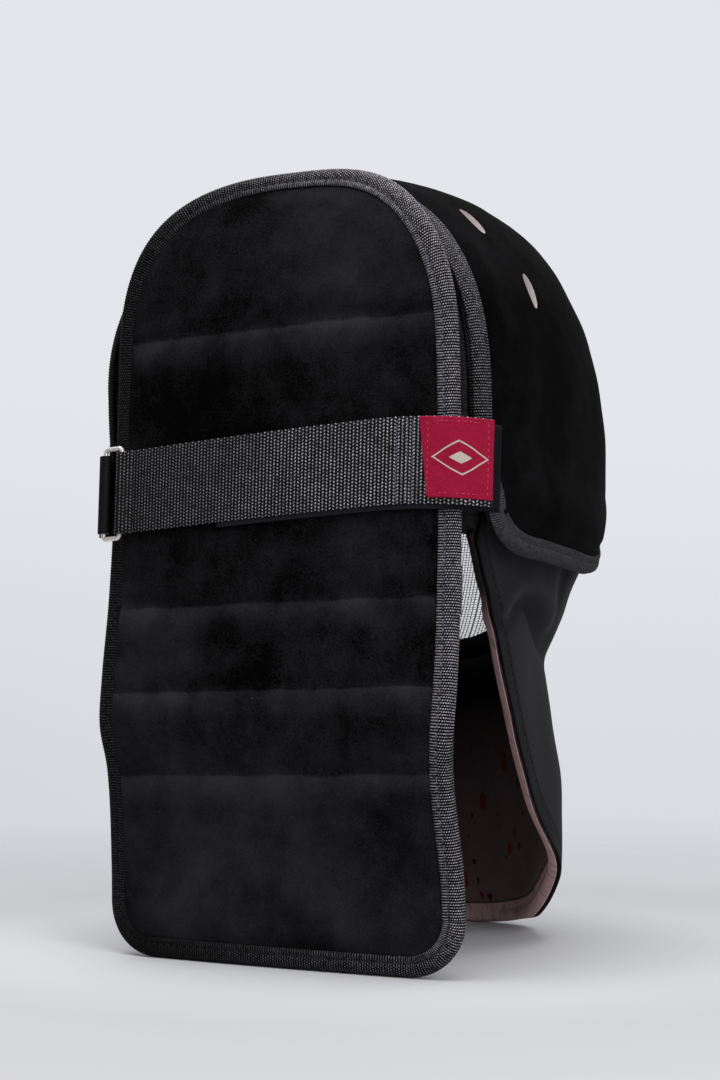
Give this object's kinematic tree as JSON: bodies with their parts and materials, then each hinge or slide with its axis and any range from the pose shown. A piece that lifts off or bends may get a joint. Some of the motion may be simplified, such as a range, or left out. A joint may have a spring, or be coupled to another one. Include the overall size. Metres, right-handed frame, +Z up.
{
  "type": "historical fencing mask",
  "caption": "Fencing mask for historical sword play: steel mesh basket under a padded suede overlay, with a padded flap over the back of the head, a lined bib and a webbing strap.",
  "frame": {"origin": "centre of the bounding box on the surface that the mask stands on", "axes": "+Z up, -Y the way the face looks, +X towards the wearer's left"},
  "size_m": [0.2466, 0.2882, 0.4248],
  "materials": {
    "steel_mesh": "bright woven steel wire",
    "overlay_suede": "matte black suede",
    "overlay_tape": "ribbed charcoal binding tape",
    "panel_suede": "matte black suede with a cloudy nap",
    "panel_tape": "ribbed charcoal binding tape",
    "bib_cloth": "smooth charcoal cloth",
    "bib_lining": null,
    "strap_webbing": "coarse charcoal webbing with pale flecks",
    "hook_tape": "smooth black hook-and-loop tape",
    "label": "woven burgundy, no lettering",
    "ring_steel": "bright steel wire",
    "tab_webbing": "black webbing"
  },
  "bodies": {
    "root": {"steel_mesh": "steel_mesh", "overlay": "overlay_suede", "overlay_binding": "overlay_tape", "back_panel": "panel_suede", "panel_binding": "panel_tape", "bib_shell": "bib_cloth", "bib_lining": "bib_lining", "strap": "strap_webbing", "strap_tape": "hook_tape", "strap_label": "label", "strap_ring": "ring_steel", "ring_tab": "tab_webbing"}
  },
  "joints": []
}
